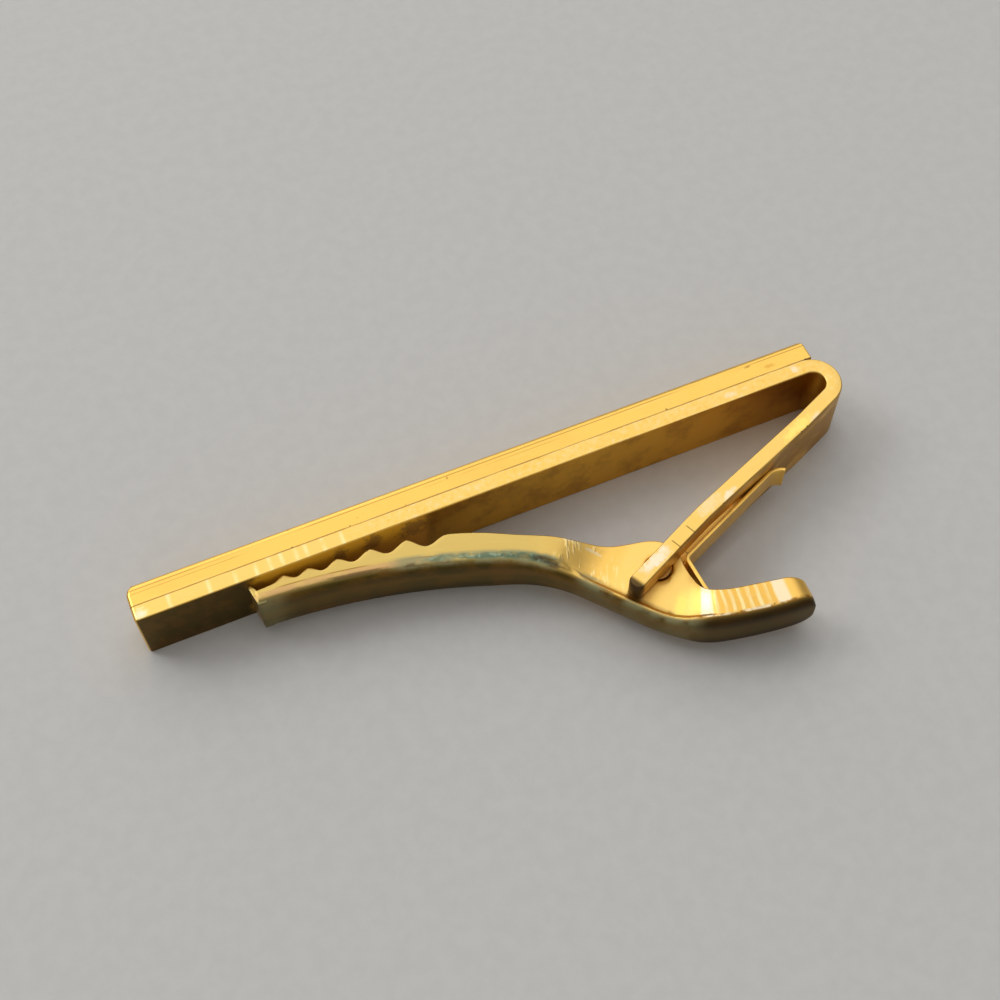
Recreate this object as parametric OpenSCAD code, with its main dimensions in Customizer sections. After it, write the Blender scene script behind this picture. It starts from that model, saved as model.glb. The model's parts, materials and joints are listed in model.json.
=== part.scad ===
// Tie clip of the spring-jaw kind. A flat bar is backed by one strip of brass that folds
// round behind it and ends in a fork. A toothed jaw lever pivots in the fork on a pin,
// and a folded leaf spring holds its teeth against the back of the bar.
// The clip lies on its long side edge: X runs along the bar, Y from the lever to the
// face that is seen when it is worn, Z across the width.

/* [Front bar] */
// Length of the bar
bar_len = 50; // [40:0.5:60]
// Thickness of the bar
bar_t = 1.63; // [1:0.01:2.2]
// Width of the bar and of its backing strip
clip_w = 4.76; // [4.5:0.01:6.5]
// Rounding of the bar's two long front edges
bar_edge_r = 0.4; // [0.1:0.01:0.6]
// Rounding of the bar's free front corner
bar_free_r = 0.8; // [0.2:0.01:0.9]
// Rounding of the bar's front corner at the fold
bar_fold_r = 0.45; // [0.1:0.01:0.9]

/* [Backing strip] */
// Thickness of the strip
strip_t = 1.12; // [0.9:0.01:1.3]
// How far before the bar's end the fold starts
fold_setback = 0.9; // [0.5:0.05:3]
// Inner radius of the fold
fold_r = 0.85; // [0.6:0.01:1.2]
// Turn of the fold
fold_turn = 156; // [154:0.5:158]
// Straight length after the fold
arm_straight = 3; // [2:0.1:5]
// Length over which the arm eases toward the bar
arm_ease = 3; // [1:0.1:5]
// Turn of that ease
arm_ease_turn = 4.5; // [2:0.1:6]
// Length of the arm's long outer curve, which holds the fork
arm_curve = 14.8; // [13.8:0.1:16]
// Turn of the long curve
arm_curve_turn = 7.66; // [5:0.01:9]
// Rounding of the prongs' ends, as a share of half the strip's thickness
prong_end_share = 0.85; // [0.3:0.05:0.95]
// Width of the slot between the prongs
slot_w = 1.66; // [1.4:0.01:1.9]
// Length of the slot from the prong ends
slot_len = 10.3; // [8.3:0.1:12]

/* [Pivot pin] */
// Diameter of the pin between the prongs
pin_d = 1.7; // [1.3:0.01:1.9]
// Diameter of the reduced ends that seat in the prongs
pin_end_d = 0.7; // [0.5:0.01:0.8]
// Length of each reduced end
pin_end_len = 0.8; // [0.4:0.01:1.2]
// Distance from the prong ends to the pin's axis, along the arm
pin_setback = 2.85; // [2.5:0.01:3.2]
// Radial clearance of the pin in the lever's bore
bore_clearance = 0.1; // [0.05:0.01:0.1]

/* [Jaw lever] */
// Thickness of the lever's sheet
sheet_t = 0.45; // [0.35:0.01:0.55]
// Width of the jaw
jaw_w = 3.7; // [3:0.01:4.2]
// Width of the neck where it stands between the prongs
neck_w = 1.54; // [1.3:0.01:1.6]
// Width of the neck along its back wall
neck_back_w = 2.2; // [1.9:0.01:2.6]
// Width of the thumb tab
tab_w = 3.5; // [3:0.01:4.2]
// Outer radius of the bends between back wall and flanges
bend_r = 0.6; // [0.5:0.01:0.85]
// The same radius in the neck
neck_bend_r = 0.5; // [0.45:0.01:0.6]
// Height over which the neck's flanges lean inward
neck_lean_h = 0.8; // [0.7:0.01:0.9]
// Height of the ears above the back wall
ear_h = 5.6; // [5.2:0.01:5.7]
// Distance from the pin to the jaw's end, along the bar
jaw_reach = 25.3; // [23:0.1:29]
// Height of the pin above the outer face of the neck's back wall
pin_height = 3.62; // [3.5:0.01:3.75]
// Number of teeth on each flange
tooth_count = 5; // [3:1:5]
// Length of the first tooth
tooth_pitch = 1.53; // [1.3:0.01:1.8]
// How much longer each tooth is than the one before it
tooth_growth = 0.245; // [0.1:0.005:0.3]
// Depth of the first tooth gap
tooth_depth = 0.38; // [0.2:0.01:0.5]
// Depth of the last tooth gap
last_tooth_depth = 0.78; // [0.4:0.01:0.9]
// Height of the bite edge at the jaw's end above the back wall
lip_h = 1.72; // [1.4:0.01:1.9]
// Thickness of the bite edge at its root
lip_root_t = 0.5; // [0.3:0.01:0.7]
// Thickness of the bite edge at its tip
lip_tip_t = 0.16; // [0.1:0.01:0.25]

/* [Leaf spring] */
// Thickness of the spring
spring_t = 0.26; // [0.2:0.01:0.3]
// Width of the spring
spring_w = 2; // [1.7:0.01:2.4]
// Distance from the pin to the spring's fold, along the arm
spring_setback = 2.1; // [2:0.05:2.5]
// How far past the slot's end the spring bears on the arm
bear_setback = 3.3; // [2.5:0.1:4]
// Mean radius of the spring's fold
spring_fold_r = 0.4; // [0.3:0.01:0.6]
// Length of the leg that goes down behind the ears
spring_down_leg = 2.05; // [1.8:0.05:2.2]

/* [Hidden] */
$fn = 72;
mid_z = clip_w / 2;
overrun = 0.5;
gold = [0.83, 0.64, 0.27];
pale_gold = [0.87, 0.70, 0.36];
dark_gold = [0.66, 0.50, 0.22];

// A run is a chain of legs, each [length, turn in degrees], laid from a start [x, y, heading].
function leg_end(p, leg) =
    let (turn = leg[1], r = turn == 0 ? 0 : leg[0] * 180 / (PI * turn))
    turn == 0
        ? [p[0] + leg[0] * cos(p[2]), p[1] + leg[0] * sin(p[2]), p[2]]
        : [p[0] + r * (sin(p[2] + turn) - sin(p[2])),
           p[1] - r * (cos(p[2] + turn) - cos(p[2])), p[2] + turn];
function leg_part(p, leg, share) = leg_end(p, [leg[0] * share, leg[1] * share]);
function leg_starts(p, legs, i = 0) =
    i == len(legs) ? [p] : concat([p], leg_starts(leg_end(p, legs[i]), legs, i + 1));
function run_length(legs, i = 0) = i == len(legs) ? 0 : legs[i][0] + run_length(legs, i + 1);
// Place on a run at a distance from its start
function run_at(p, legs, d, i = 0) =
    i == len(legs) - 1 || d <= legs[i][0]
        ? leg_part(p, legs[i], d / legs[i][0])
        : run_at(leg_end(p, legs[i]), legs, d - legs[i][0], i + 1);
// Places along a run, close together on its curves and none between the ends of a straight
curve_step = 6;
function run_places(p, legs) =
    let (starts = leg_starts(p, legs))
    concat([for (i = [0:len(legs) - 1])
                let (n = max(1, ceil(abs(legs[i][1]) / curve_step)))
                for (k = [0:n - 1]) leg_part(starts[i], legs[i], k / n)],
           [starts[len(legs)]]);
// Point beside a place on a run, along it and to its left
function beside(p, along, left) =
    [p[0] + along * cos(p[2]) - left * sin(p[2]), p[1] + along * sin(p[2]) + left * cos(p[2])];
function reversed(list) = [for (i = [len(list) - 1:-1:0]) list[i]];
function arc_points(centre, r, from, to, n) =
    [for (k = [0:n]) let (a = from + (to - from) * k / n) centre + r * [cos(a), sin(a)]];
function smooth(q) = let (c = max(0, min(1, q))) c * c * (3 - 2 * c);
// Smooth curve through the rows of a table of [place, value]
function slope(t, i) =
    let (a = max(0, i - 1), b = min(len(t) - 1, i + 1)) (t[b][1] - t[a][1]) / (t[b][0] - t[a][0]);
function row_before(t, x, i = 0) = i >= len(t) - 2 || x < t[i + 1][0] ? i : row_before(t, x, i + 1);
function curve_value(t, x) =
    let (i = row_before(t, x), w = t[i + 1][0] - t[i][0], q = (x - t[i][0]) / w)
    t[i][1] * (1 + 2 * q) * (1 - q) * (1 - q) + slope(t, i) * w * q * (1 - q) * (1 - q)
    + t[i + 1][1] * q * q * (3 - 2 * q) + slope(t, i + 1) * w * q * q * (q - 1);

// Backing strip: the middle line of its thickness, from the bar's free end round to the prongs
fold_mid_r = fold_r + strip_t / 2;
strip_start = [0, strip_t / 2, 0];
arm_curve_leg = [arm_curve, arm_curve_turn];
strip_legs = [[bar_len - fold_setback, 0],
              [fold_mid_r * PI * fold_turn / 180, -fold_turn],
              [arm_straight, 0],
              [arm_ease, -arm_ease_turn],
              arm_curve_leg];
strip_starts = leg_starts(strip_start, strip_legs);
arm_curve_start = strip_starts[4];
pivot = leg_part(arm_curve_start, arm_curve_leg, 1 - pin_setback / arm_curve);
slot_end = leg_part(arm_curve_start, arm_curve_leg, 1 - slot_len / arm_curve);
end_steps = 5;

// Pin and bore
pin_gap = 0.02;
seat_gap = 0.01;
bore_d = pin_d + 2 * bore_clearance;

// Jaw lever: the outer line of its back wall, in a frame with the pin's axis at the origin.
// The pin sets the neck's place, and the jaw is as long as its reach from there.
jaw_gap = 0.03;
jaw_turn = -20;
shoulder_len = 4.9;
shoulder_turn = -28;
neck_lead = 4.16;
neck_len = 5.1;
neck_heading = -50.2;
heel_len = 5.3;
heel_turn = 37;
tab_len = 6.15;
tab_turn = 11;
neck_corner = beside([0, 0, neck_heading], -neck_lead, -pin_height);
shoulder_start = leg_end([neck_corner[0], neck_corner[1], neck_heading], [-shoulder_len, -shoulder_turn]);
jaw_len = (jaw_reach + shoulder_start[0]) * PI * jaw_turn / 180
          / (sin(shoulder_start[2]) - sin(shoulder_start[2] - jaw_turn));
back_start = leg_end(shoulder_start, [-jaw_len, -jaw_turn]);
back_legs = [[jaw_len, jaw_turn], [shoulder_len, shoulder_turn], [neck_len, 0], [heel_len, heel_turn],
             [tab_len, tab_turn]];
back_len = run_length(back_legs);
// The bite edge leans out past the jaw's end
lip_lean = -0.35;
lip_tip = beside(back_start, lip_lean, lip_h);
// The jaw closes until the bite edge all but touches the strip
lever_turn = 180 - asin((-jaw_gap - pivot[1]) / norm(lip_tip)) - atan2(lip_tip[1], lip_tip[0]);
// Shares of the lever's length: -1 at the jaw's end, 0 at its waist before the neck, 1 at the tab's end
waist_lead = 3.86;
waist = jaw_len + shoulder_len - waist_lead;
function length_share(s) = s < waist ? s / waist - 1 : (s - waist) / (back_len - waist);
// Height of the flanges, tooth tips included: share of the lever's length, share of the ears' height
rim_shares = [[-1, 0.27], [-0.89, 0.3], [-0.78, 0.31], [-0.66, 0.345], [-0.55, 0.38], [-0.42, 0.42],
              [-0.29, 0.445], [-0.15, 0.435], [-0.01, 0.4], [0.094, 0.455], [0.169, 0.545],
              [0.226, 0.665], [0.273, 0.795], [0.311, 0.91], [0.349, 0.985], [0.377, 1],
              [0.424, 0.945], [0.471, 0.87], [0.537, 0.735], [0.585, 0.595], [0.632, 0.485],
              [0.707, 0.43], [0.821, 0.42], [0.934, 0.395], [0.981, 0.34], [1, 0.27]];
// Where the neck's pinch starts, is full, ends being full and is over
pinch_top_shares = [0.06, 0.24, 0.52, 0.7];
pinch_back_shares = [-0.15, 0.24, 0.5, 0.66];
// Where the width to which the pinch opens changes from the jaw's to the tab's
pinch_mid_share = 0.38;
jaw_end_len = 1.9;
tooth_steps = 8;
// Place of a tooth's tip from the jaw's end: 0 for the first tip, and one more for each tooth
function tooth_place(count) = jaw_end_len + tooth_pitch * count + tooth_growth * count * max(0, count) / 2;
toothed_len = tooth_place(tooth_count);
rim_spacing = 0.5;
tip_len = 1.5;
tip_in = 0.8;
tip_spacing = 0.25;
bend_steps = 4;
least_inner_r = 0.05;
lean_steps = 2;
low_rim_share = 0.6;

function pinch(s, shares) =
    let (q = length_share(s))
    smooth((q - shares[0]) / (shares[1] - shares[0])) * (1 - smooth((q - shares[2]) / (shares[3] - shares[2])));
// Half a tooth's gap stands before the first tip and stays open to the jaw's end
function teeth_before(s) =
    let (past = s - jaw_end_len)
    past < 0 ? max(-1 / 2, past / tooth_pitch)
             : (sqrt(tooth_pitch * tooth_pitch + 2 * tooth_growth * past) - tooth_pitch) / tooth_growth;
function tooth_cut(s) =
    let (count = teeth_before(s),
         depth = tooth_depth + (last_tooth_depth - tooth_depth) * max(0, count) / tooth_count)
    s >= toothed_len ? 0 : depth * (1 - cos(360 * count)) / 2;
function rim_h(s) = ear_h * curve_value(rim_shares, length_share(s)) - tooth_cut(s);
function wide(s) = length_share(s) < pinch_mid_share ? jaw_w : tab_w;
function tip_loss(s) =
    let (q = max(0, (s - back_len + tip_len) / tip_len)) tip_in * (1 - sqrt(max(0, 1 - q * q)));
function half_back(s) =
    (wide(s) + (neck_back_w - wide(s)) * pinch(s, pinch_back_shares)) / 2 - tip_loss(s);
function half_top(s) =
    (wide(s) + (neck_w - wide(s)) * pinch(s, pinch_top_shares)) / 2 - tip_loss(s);
function outer_bend(s) =
    max(min(bend_r + (neck_bend_r - bend_r) * pinch(s, pinch_back_shares), rim_h(s) * low_rim_share),
        sheet_t + least_inner_r);
// Half of one skin of the channel's section, from the middle of the back wall to the rim:
// [across, up], with the bend first and then the lean to the rim's width
function half_skin(s, inset) =
    let (r = outer_bend(s), b = half_back(s), t = half_top(s),
         lean = max(r, min(neck_lean_h, rim_h(s) * (1 + low_rim_share) / 2)))
    concat([[0, inset]],
           arc_points([b - r, r], r - inset, -90, 0, bend_steps),
           [for (k = [1:lean_steps]) let (q = k / lean_steps)
               [b + (t - b) * smooth(q) - inset, r + (lean - r) * q]],
           [[t - inset, rim_h(s)]]);
function section(s) =
    let (outer = half_skin(s, 0), inner = half_skin(s, sheet_t), n = len(outer) - 1)
    concat([for (k = [n:-1:1]) [-outer[k][0], outer[k][1]]], outer,
           reversed(inner), [for (k = [1:n]) [-inner[k][0], inner[k][1]]]);
function section_ring(s) =
    let (p = run_at(back_start, back_legs, s))
    [for (c = section(s)) let (q = beside(p, 0, c[1])) [q[0], q[1], c[0]]];
mid_count = ceil((back_len - tip_len - toothed_len) / rim_spacing);
tip_count = ceil(tip_len / tip_spacing);
lever_places = concat([0],
                      [for (k = [-tooth_steps / 2:tooth_count * tooth_steps - 1]) tooth_place(k / tooth_steps)],
                      [for (k = [0:mid_count - 1])
                          toothed_len + (back_len - tip_len - toothed_len) * k / mid_count],
                      [for (k = [0:tip_count]) back_len - tip_len + tip_len * k / tip_count]);

// Leaf spring: a curled tip, a leg along the arm, a fold behind the ears and a leg into the tab
spring_gap = 0.04;
spring_lift = 0.27;
curl_len = 1.25;
curl_turn = 62;
arm_leg_turn = 3;
fold_back_turn = 68;
knee_len = 2.3;
knee_turn = 44;
toe_len = 2;
toe_turn = 24;
// The leg along the arm reaches from where the curled tip bears to the fold, and lifts off on its way
bear = leg_part(arm_curve_start, arm_curve_leg, 1 - (slot_len + bear_setback) / arm_curve);
bear_point = beside(bear, 0, (strip_t + spring_t) / 2 + spring_gap);
arm_leg = slot_len + bear_setback - pin_setback - spring_setback;
spread_turn = (spring_lift - spring_gap) / arm_leg * 180 / PI
              + (arm_curve_turn * arm_leg / arm_curve - arm_leg_turn) / 2;
spring_start = leg_end([bear_point[0], bear_point[1], bear[2] + spread_turn], [-curl_len, -curl_turn]);
spring_legs = [[curl_len, curl_turn], [arm_leg, arm_leg_turn],
               [spring_fold_r * PI * fold_back_turn / 180, fold_back_turn],
               [spring_down_leg, 0], [knee_len, knee_turn], [toe_len, toe_turn]];

// Outline of a strip of even thickness laid along a run
module band(places, t) {
    polygon(concat([for (p = places) beside(p, 0, t / 2)],
                   reversed([for (p = places) beside(p, 0, -t / 2)])));
}

// Front bar: a plain flat bar with softened front edges and corners
module front_bar() {
    fold_corner = [bar_len - bar_fold_r, strip_t + bar_t - bar_fold_r];
    free_corner = [bar_free_r, strip_t + bar_t - bar_free_r];
    low_edge = [strip_t + bar_t - bar_edge_r, bar_edge_r];
    high_edge = [strip_t + bar_t - bar_edge_r, clip_w - bar_edge_r];
    color(gold)
    intersection() {
        linear_extrude(height = clip_w)
            polygon(concat([[0, strip_t], [bar_len, strip_t]],
                           arc_points(fold_corner, bar_fold_r, 0, 90, 5),
                           arc_points(free_corner, bar_free_r, 90, 180, 7)));
        rotate([90, 0, 90])
            linear_extrude(height = bar_len)
                polygon(concat([[strip_t, 0]],
                               arc_points(low_edge, bar_edge_r, -90, 0, 5),
                               arc_points(high_edge, bar_edge_r, 0, 90, 5),
                               [[strip_t, clip_w]]));
    }
}

// Backing strip: flat under the bar, folded round past its end, forked where the lever pivots
module strip_outline() {
    places = run_places(strip_start, strip_legs);
    n = len(places);
    body = [for (k = [0:n - 2]) places[k]];
    tip = places[n - 1];
    r = prong_end_share * strip_t / 2;
    straight = strip_t / 2 - r;
    polygon(concat([for (p = body) beside(p, 0, strip_t / 2)],
                   [for (c = reversed(arc_points([-r, straight], r, 0, 90, end_steps))) beside(tip, c[0], c[1])],
                   [for (c = reversed(arc_points([-r, -straight], r, -90, 0, end_steps))) beside(tip, c[0], c[1])],
                   reversed([for (p = body) beside(p, 0, -strip_t / 2)])));
}

module slot_cut() {
    translate([slot_end[0], slot_end[1], mid_z])
        rotate([0, 0, slot_end[2]]) {
            translate([0, -strip_t - overrun, -slot_w / 2])
                cube([slot_len + overrun, 2 * (strip_t + overrun), slot_w]);
            rotate([90, 0, 0])
                cylinder(d = slot_w, h = 2 * (strip_t + overrun), center = true);
        }
}

module pin_seats() {
    translate([pivot[0], pivot[1], mid_z])
        cylinder(d = pin_end_d + 2 * seat_gap, h = slot_w + 2 * (pin_end_len + seat_gap), center = true);
}

module backing_strip() {
    color(pale_gold)
    difference() {
        linear_extrude(height = clip_w) strip_outline();
        slot_cut();
        pin_seats();
    }
}

// Pivot pin: a drum between the prongs with a reduced end seated in each
module pivot_pin() {
    color(dark_gold)
    translate([pivot[0], pivot[1], mid_z]) {
        cylinder(d = pin_d, h = slot_w - 2 * pin_gap, center = true);
        cylinder(d = pin_end_d, h = slot_w + 2 * pin_end_len, center = true);
    }
}

// Jaw lever: one channel of sheet, toothed at the jaw, pinched to a neck with two ears at the
// pin, and opened again to the thumb tab
module lever_channel() {
    rings = [for (s = lever_places) section_ring(s)];
    n = len(rings[0]);
    last = (len(rings) - 1) * n;
    polyhedron(
        points = [for (ring = rings) each ring],
        faces = concat([for (i = [0:n / 2 - 2])
                           each [[i, n - 2 - i, i + 1], [i, n - 1 - i, n - 2 - i]]],
                       [for (k = [0:len(rings) - 2], i = [0:n - 1])
                           let (a = k * n + i, b = k * n + (i + 1) % n)
                           each [[a, b, a + n], [b, b + n, a + n]]],
                       [for (i = [0:n / 2 - 2])
                           each [[last + i, last + i + 1, last + n - 2 - i],
                                 [last + i, last + n - 2 - i, last + n - 1 - i]]]));
}

module bite_edge() {
    wall = sheet_t / 4;
    linear_extrude(height = jaw_w - 2 * wall, center = true)
        polygon([beside(back_start, -wall, wall),
                 beside(back_start, lip_root_t, wall),
                 beside(back_start, lip_root_t, sheet_t + wall),
                 beside(back_start, lip_lean + lip_tip_t, lip_h - wall),
                 beside(back_start, lip_lean + lip_tip_t / 2, lip_h),
                 beside(back_start, lip_lean - lip_tip_t / 2, lip_h - wall)]);
}

module jaw_lever() {
    color(gold)
    translate([pivot[0], pivot[1], mid_z])
        rotate([0, 0, lever_turn])
            difference() {
                union() {
                    lever_channel();
                    bite_edge();
                }
                cylinder(d = bore_d, h = clip_w, center = true);
            }
}

module leaf_spring() {
    color(pale_gold)
    translate([0, 0, mid_z])
        linear_extrude(height = spring_w, center = true)
            band(run_places(spring_start, spring_legs), spring_t);
}

// The clip stands centred over its origin, on its long side edge
lever_low = min([for (s = lever_places)
    let (p = run_at(back_start, back_legs, s)) pivot[1] + p[0] * sin(lever_turn) + p[1] * cos(lever_turn)]);
clip_len = bar_len - fold_setback + fold_r + strip_t;
module placed() {
    translate([-clip_len / 2, -(lever_low + strip_t + bar_t) / 2, 0]) children();
}

placed() front_bar();
placed() backing_strip();
placed() pivot_pin();
placed() jaw_lever();
placed() leaf_spring();
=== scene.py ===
"""Dresses the tie clip: worn gold pieces round the fixed frame, a pale floor and soft light."""

import json
import math

import bpy
from bpy.props import FloatProperty, FloatVectorProperty, IntProperty, PointerProperty
from mathutils import Matrix, Vector
from mathutils.kdtree import KDTree


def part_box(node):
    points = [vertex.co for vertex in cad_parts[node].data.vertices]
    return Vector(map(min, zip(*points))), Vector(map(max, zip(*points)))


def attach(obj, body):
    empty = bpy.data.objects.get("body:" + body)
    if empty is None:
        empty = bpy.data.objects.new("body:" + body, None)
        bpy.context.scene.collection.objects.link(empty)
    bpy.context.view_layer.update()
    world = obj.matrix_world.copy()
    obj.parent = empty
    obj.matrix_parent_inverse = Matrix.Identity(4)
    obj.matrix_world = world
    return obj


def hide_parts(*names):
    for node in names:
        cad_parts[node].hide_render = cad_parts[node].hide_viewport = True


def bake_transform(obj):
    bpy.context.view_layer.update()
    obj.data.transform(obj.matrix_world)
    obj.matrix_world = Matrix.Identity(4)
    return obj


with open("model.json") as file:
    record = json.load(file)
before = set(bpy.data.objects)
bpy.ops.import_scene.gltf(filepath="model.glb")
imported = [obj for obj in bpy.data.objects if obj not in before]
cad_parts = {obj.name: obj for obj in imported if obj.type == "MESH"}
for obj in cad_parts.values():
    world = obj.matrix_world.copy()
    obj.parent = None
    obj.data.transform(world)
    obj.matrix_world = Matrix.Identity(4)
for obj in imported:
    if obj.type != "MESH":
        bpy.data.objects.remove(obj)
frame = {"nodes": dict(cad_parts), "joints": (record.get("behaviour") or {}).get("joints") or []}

bl_info = {
    "name": "Tie clip",
    "version": (1, 1, 0),
    "blender": (4, 5, 0),
    "location": "3D view > Sidebar > Tie clip",
    "description": "Finishes the pieces of a gold tie clip and lights them for a photograph",
    "category": "Object",
}

MM = 0.001
MICRON = 0.000001
BAR_LOW, BAR_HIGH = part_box("front_bar")
PIVOT = Vector(frame["joints"][0]["pos_m"])
UP = (0, 0, 1)

# The bent sheets, as runs of legs: each leg is a length in millimetres and a turn in degrees.
# The strip's run is its middle line, from the bar's free end round the fold to the prongs.
STRIP_HALF = 0.56
FOLD_RADIUS = 1.41
STRIP_START = (BAR_LOW.x, BAR_LOW.y - STRIP_HALF * MM, 0.0)
STRIP_LEGS = ((49.1, 0), (3.839, -156), (3, 0), (3, -4.5), (14.8, 7.66))
FOLD_AT = (BAR_LOW.x + STRIP_LEGS[0][0] * MM, BAR_LOW.y - (STRIP_HALF + FOLD_RADIUS) * MM)
# Where the strip's long faces are cut across, so that their shading stays even. Millimetres.
STRIP_CUTS = (6, 14, 22, 31.5, 35, 38, 41, 44, 47)
# Edges this near the seam stay crisp, those of the fold's outside lie in a ring round its middle,
# and those this near the free end are the softest. Millimetres.
SEAM_REACH, FOLD_RING, FREE_END_REACH = 0.02, (1.5, 2.0), 0.8
# How far round the fold an edge is fully soft, and how sharp an edge has to be to get rounded. Degrees.
SOFT_AFTER, SHARP_EDGE = 150, 50
# The lever's run is the outer line of its back wall, from the jaw's end to the thumb tab's.
LEVER_START = (PIVOT.x - 25.27 * MM, PIVOT.y + 7.295 * MM, -2.436)
LEVER_LEGS = ((16.393, -20), (4.9, -28), (5.1, 0), (5.3, 37), (6.15, 11))
# Within this many millimetres of the jaw's end, edges are rounded by this share of the others' width.
BITE_REACH, BITE_SHARE = 1.0, 0.3
# Where burnished marks cross the strip, from its free end. Millimetres.
CROSS_MARKS = (2.5, 5.2, 7.0, 8.4, 9.4, 10.2, 11.2, 11.9, 13.1, 14.4)
# How far apart the places on a run are. Millimetres.
RUN_STEP = 0.05
# Marks on the upper side are blots centred at this height, this far up and down. Millimetres.
TOP_MARK, TOP_REACH = 4.7, 1.2
# Heights of the slow waves and the drawn grain on all the gold, in microns.
WAVE_HEIGHT, GRAIN_HEIGHT = 14, 3.5 / 12
# The soft square panels that light the clip: name, place and side in metres.
PANELS = (
    ("top", (0.22, 0.55, 1.02), 1.5),
    ("back", (-0.25, 1.45, 0.55), 1.3),
    ("fill", (-0.20, -0.95, 0.65), 1.0),
    ("key", (-0.42, 0.40, 0.50), 0.30),
)


def colour(name, description, default):
    """A linear colour that a user can change."""
    return FloatVectorProperty(
        name=name, description=description, subtype="COLOR", size=3, min=0, max=1, default=default
    )


def length(name, description, default_mm):
    """A small length that a user can change, given in millimetres."""
    return FloatProperty(
        name=name, description=description, default=default_mm * MM, min=0, unit="LENGTH", precision=5
    )


def tilt(name, description, degrees):
    """An angle that a user can change, given in degrees."""
    radians = math.radians(degrees)
    return FloatProperty(name=name, description=description, default=radians, unit="ROTATION")


def brightness(name, description, default):
    """How bright a light is. At 1 it is white."""
    return FloatProperty(name=name, description=description, default=default, min=0)


class TieClipSizes(bpy.types.PropertyGroup):
    """How far each piece's crisp edges are worn round, and the sizes of its marks."""

    bar_edge: length("Bar edge", "Rounding of the bar's crisp edges", 0.13)
    strip_edge: length("Strip edge", "Rounding of the backing strip's edges", 0.12)
    seam_edge: length("Seam edge", "Rounding of the two edges that meet at the seam", 0.02)
    lever_edge: length("Lever edge", "Rounding of the lever's sheet edges", 0.11)
    spring_edge: length("Spring edge", "Rounding of the leaf spring's edges", 0.035)
    pin_edge: length("Pin edge", "Rounding of the pivot pin's shoulders", 0.05)
    edge_steps: IntProperty(name="Edge steps", description="Faces across an edge", default=3, min=1)
    # Half width of the brown lines painted as shade along the bar's rounded front edge.
    edge_shade_line: length("Hair line", "Half width of the drawn hair lines along the bar", 0.018)
    cross_mark: length("Cross mark", "Half width of the burnished marks across the strip", 0.21)
    flute: length("Flute", "Pitch of the file marks across the thumb tab", 0.62)


class TieClipColours(bpy.types.PropertyGroup):
    """Colours of the gold, of its wear and of what has settled on it."""

    bar_gold: colour("Bar gold", "Bright plate of the front bar", (0.93, 0.575, 0.125))
    pale_gold: colour("Pale gold", "Rubbed plate of the backing strip", (0.90, 0.59, 0.16))
    lever_gold: colour("Lever gold", "Plate of the jaw lever", (0.94, 0.57, 0.13))
    cream: colour("Cream", "Paler plate on the jaw's sides", (0.56, 0.42, 0.13))
    orange: colour("Orange", "Deep orange gold inside corners", (0.70, 0.38, 0.06))
    spring_gold: colour("Spring gold", "Warm plate of the leaf spring", (1.0, 0.62, 0.14))
    pin_gold: colour("Pin gold", "Dull plate of the pin", (0.50, 0.27, 0.07))
    rubbed: colour("Rubbed edge", "Gold where it is rubbed bright", (0.94, 0.74, 0.33))
    # This pale tone is also the painted glints and highlights on the strip, the lever and its tab.
    silver_glint_and_frost: colour("Silvered", "Nearly white metal on the brightest rubs", (0.86, 0.78, 0.58))
    # Olive is also painted shade on the strip's free end and on the lever's back wall.
    olive: colour("Olive", "Olive film on the sheltered faces", (0.06, 0.042, 0.007))
    # On the strip's inner face this golden brown is partly painted shade.
    umber: colour("Umber", "Golden brown film on the strip's inner face", (0.80, 0.44, 0.04))
    brown: colour("Brown", "Warm brown where the plate has thinned", (0.30, 0.13, 0.025))
    # This near black is painted shade on the prong ends and on the back under the thumb tab.
    painted_shade: colour("Dirt", "Dark matter in corners", (0.03, 0.018, 0.008))
    verdigris: colour("Verdigris", "Green crust in the lever's bends", (0.15, 0.23, 0.14))
    pale_crust: colour("Pale crust", "Chalky flecks in the verdigris", (0.42, 0.56, 0.38))
    grey_green: colour("Grey green", "Thin grey green bloom", (0.36, 0.34, 0.17))
    rose: colour("Rose", "Pinkish copper where the plate is worn through", (0.58, 0.34, 0.15))
    burnished: colour("Burnished", "Bright marks across the strip", (0.95, 0.78, 0.36))
    # A painted glint on the arm near the fold.
    arm_glint: colour("Arm rub", "Yellow rub on the arm near the fold", (0.95, 0.74, 0.19))
    # A painted reflection of the lever's gold on the strip's inner face opposite the teeth.
    reflected_orange: colour("Gap orange", "Clean orange gold opposite the teeth", (1.0, 0.50, 0.03))
    # Painted shade on the ends of the prongs.
    prong_end_shade: colour("Prong end", "Darkened ends of the prongs", (0.07, 0.035, 0.008))
    fluted: colour("Fluted", "Pale gold inside the file cuts of the thumb tab", (0.90, 0.78, 0.40))
    # Painted sheen round the pivot and a painted highlight beside the thumb tab.
    ear_sheen: colour("Ear gold", "Lighter gold round the pivot", (1.0, 0.68, 0.20))
    ear_highlight: colour("Ear yellow", "Yellow patch beside the thumb tab", (0.98, 0.78, 0.18))
    back_rub: colour("Back rub", "Rubbed middle of the lever's back", (0.28, 0.18, 0.03))
    scuffed: colour("Scuffed", "Dark scuffs along the lever's bends", (0.14, 0.075, 0.025))


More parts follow.
